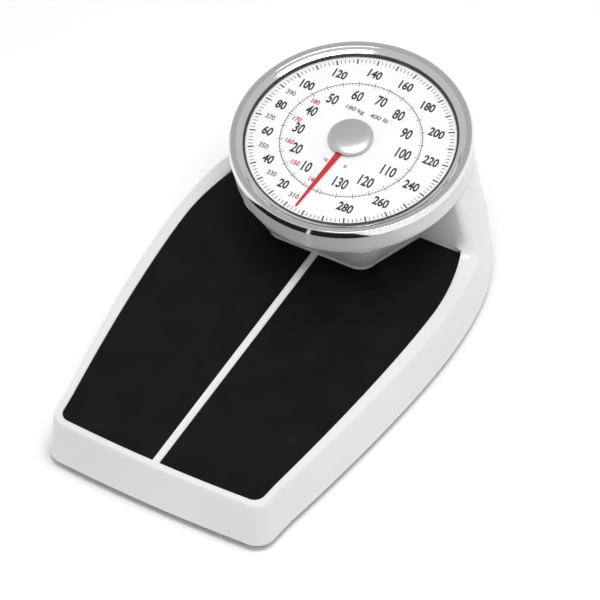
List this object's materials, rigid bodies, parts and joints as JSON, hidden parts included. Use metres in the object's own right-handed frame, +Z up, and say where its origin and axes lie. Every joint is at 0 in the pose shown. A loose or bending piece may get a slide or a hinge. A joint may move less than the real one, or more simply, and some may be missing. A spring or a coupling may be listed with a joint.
{
  "type": "mechanical dial platform scale",
  "caption": "Floor scale with a white one-piece platform cover, black foot mats and a raised chrome-ringed dial over a lever and spring mechanism.",
  "frame": {"origin": "on the floor, at the centre of the outline's bounding box", "axes": "+X the user's right, +Y from the user towards the dial, +Z up"},
  "size_m": [0.272, 0.4349, 0.1527],
  "materials": {
    "white_shell": "smooth satin-gloss white moulding",
    "mat_rubber": "fine-grained black rubber",
    "chrome": "polished",
    "zinc_steel": "bright zinc-plated pressed steel",
    "spring_steel": "ground spring steel",
    "brass": "machined",
    "face_white": "printed matt white",
    "pointer_red": "satin red paint",
    "clear_lens": "clear",
    "foot_rubber": "moulded matt rubber",
    "grey_plastic": "moulded"
  },
  "bodies": {
    "base": {"base_tray": "zinc_steel", "bezel": "chrome", "column": "zinc_steel", "crank_bracket": "zinc_steel", "dial_case": "zinc_steel", "dial_face": "face_white", "dial_spacer_1": "zinc_steel", "dial_spacer_2": "zinc_steel", "dial_spacer_3": "zinc_steel", "foot_left_front": "foot_rubber", "foot_left_rear": "foot_rubber", "foot_right_front": "foot_rubber", "foot_right_rear": "foot_rubber", "fulcrum_bracket_front_left": "zinc_steel", "fulcrum_bracket_front_right": "zinc_steel", "fulcrum_bracket_rear_left": "zinc_steel", "fulcrum_bracket_rear_right": "zinc_steel", "lens": "clear_lens", "lens_gasket": "foot_rubber", "movement_plate": "brass", "movement_post_left": "brass", "movement_post_right": "brass", "rack_guide": "grey_plastic", "shaft_bush": "brass", "spring_bracket": "zinc_steel"},
    "platform": {"load_post_front_left": "zinc_steel", "load_post_front_right": "zinc_steel", "load_post_rear_left": "zinc_steel", "load_post_rear_right": "zinc_steel", "mat_left": "mat_rubber", "mat_right": "mat_rubber", "platform_cover": "white_shell", "platform_plate": "zinc_steel"},
    "long_lever_left": {"long_lever_left": "zinc_steel", "long_lever_left_fulcrum_pin": "spring_steel", "long_lever_left_link_pin": "spring_steel", "long_lever_left_load_pin": "spring_steel"},
    "long_lever_right": {"long_lever_right": "zinc_steel", "long_lever_right_fulcrum_pin": "spring_steel", "long_lever_right_link_pin": "spring_steel", "long_lever_right_load_pin": "spring_steel"},
    "short_lever_left": {"short_lever_left": "zinc_steel", "short_lever_left_fulcrum_pin": "spring_steel", "short_lever_left_load_pin": "spring_steel"},
    "short_lever_right": {"short_lever_right": "zinc_steel", "short_lever_right_fulcrum_pin": "spring_steel", "short_lever_right_load_pin": "spring_steel"},
    "nose_plate": {"nose_plate": "zinc_steel", "pull_rod": "spring_steel", "main_spring": "spring_steel"},
    "bell_crank": {"bell_crank": "zinc_steel"},
    "rack": {"rack": "brass"},
    "pointer": {"pinion_shaft": "brass", "pointer": "pointer_red", "hub_cap": "chrome"},
    "spring_hanger": {"spring_hanger": "zinc_steel"},
    "zero_wheel": {"zero_wheel": "grey_plastic"}
  },
  "joints": [
    {"name": "platform_travel", "type": "slide", "parent": "base", "child": "platform", "axis": [0, 0, -1], "range_m": [0, 0.001], "stiffness_N_per_m": 40000, "springref_m": -0.0015},
    {"name": "pointer_turn", "type": "hinge", "parent": "base", "child": "pointer", "pos_m": [0, 0.117, 0.127], "axis": [0, 0.1621, -0.9868], "range_deg": [0, 476.2]},
    {"name": "bell_crank_turn", "type": "hinge", "parent": "base", "child": "bell_crank", "pos_m": [0, 0.14475, 0.06], "axis": [0, -1, 0], "range_deg": [0, 27.52]},
    {"name": "rack_travel", "type": "slide", "parent": "base", "child": "rack", "axis": [-1, 0, 0], "range_m": [0, 0.02052]},
    {"name": "nose_plate_travel", "type": "slide", "parent": "base", "child": "nose_plate", "axis": [0, 0, -1], "range_m": [0, 0.01297], "deforming": ["main_spring"]},
    {"name": "zero_wheel_turn", "type": "hinge", "parent": "base", "child": "zero_wheel", "pos_m": [0, 0.193, 0.089], "axis": [0, 0, 1], "range_deg": [-720, 720]},
    {"name": "spring_hanger_travel", "type": "slide", "parent": "base", "child": "spring_hanger", "axis": [0, 0, 1], "range_m": [-0.00201, 0.00201]},
    {"name": "long_lever_left_tilt", "type": "hinge", "parent": "base", "child": "long_lever_left", "pos_m": [-0.078, -0.17, 0.02], "axis": [-1, 0, 0], "range_deg": [0, 2.05]},
    {"name": "short_lever_left_tilt", "type": "hinge", "parent": "base", "child": "short_lever_left", "pos_m": [-0.094, 0.098, 0.026], "axis": [1, 0, 0], "range_deg": [0, 2.05]},
    {"name": "long_lever_right_tilt", "type": "hinge", "parent": "base", "child": "long_lever_right", "pos_m": [0.078, -0.17, 0.02], "axis": [-1, 0, 0], "range_deg": [0, 2.05]},
    {"name": "short_lever_right_tilt", "type": "hinge", "parent": "base", "child": "short_lever_right", "pos_m": [0.094, 0.098, 0.026], "axis": [1, 0, 0], "range_deg": [0, 2.05]}
  ],
  "couplings": [
    {"joint": "pointer_turn", "follows": "platform_travel", "rad_per_m": 8309.6},
    {"joint": "bell_crank_turn", "follows": "platform_travel", "rad_per_m": 480.06},
    {"joint": "rack_travel", "follows": "platform_travel", "ratio": 20.502},
    {"joint": "nose_plate_travel", "follows": "platform_travel", "ratio": 12.962},
    {"joint": "long_lever_left_tilt", "follows": "platform_travel", "rad_per_m": 35.707},
    {"joint": "short_lever_left_tilt", "follows": "platform_travel", "rad_per_m": 35.707},
    {"joint": "long_lever_right_tilt", "follows": "platform_travel", "rad_per_m": 35.707},
    {"joint": "short_lever_right_tilt", "follows": "platform_travel", "rad_per_m": 35.707},
    {"joint": "spring_hanger_travel", "follows": "zero_wheel_turn", "m_per_rad": 0.00015915}
  ]
}
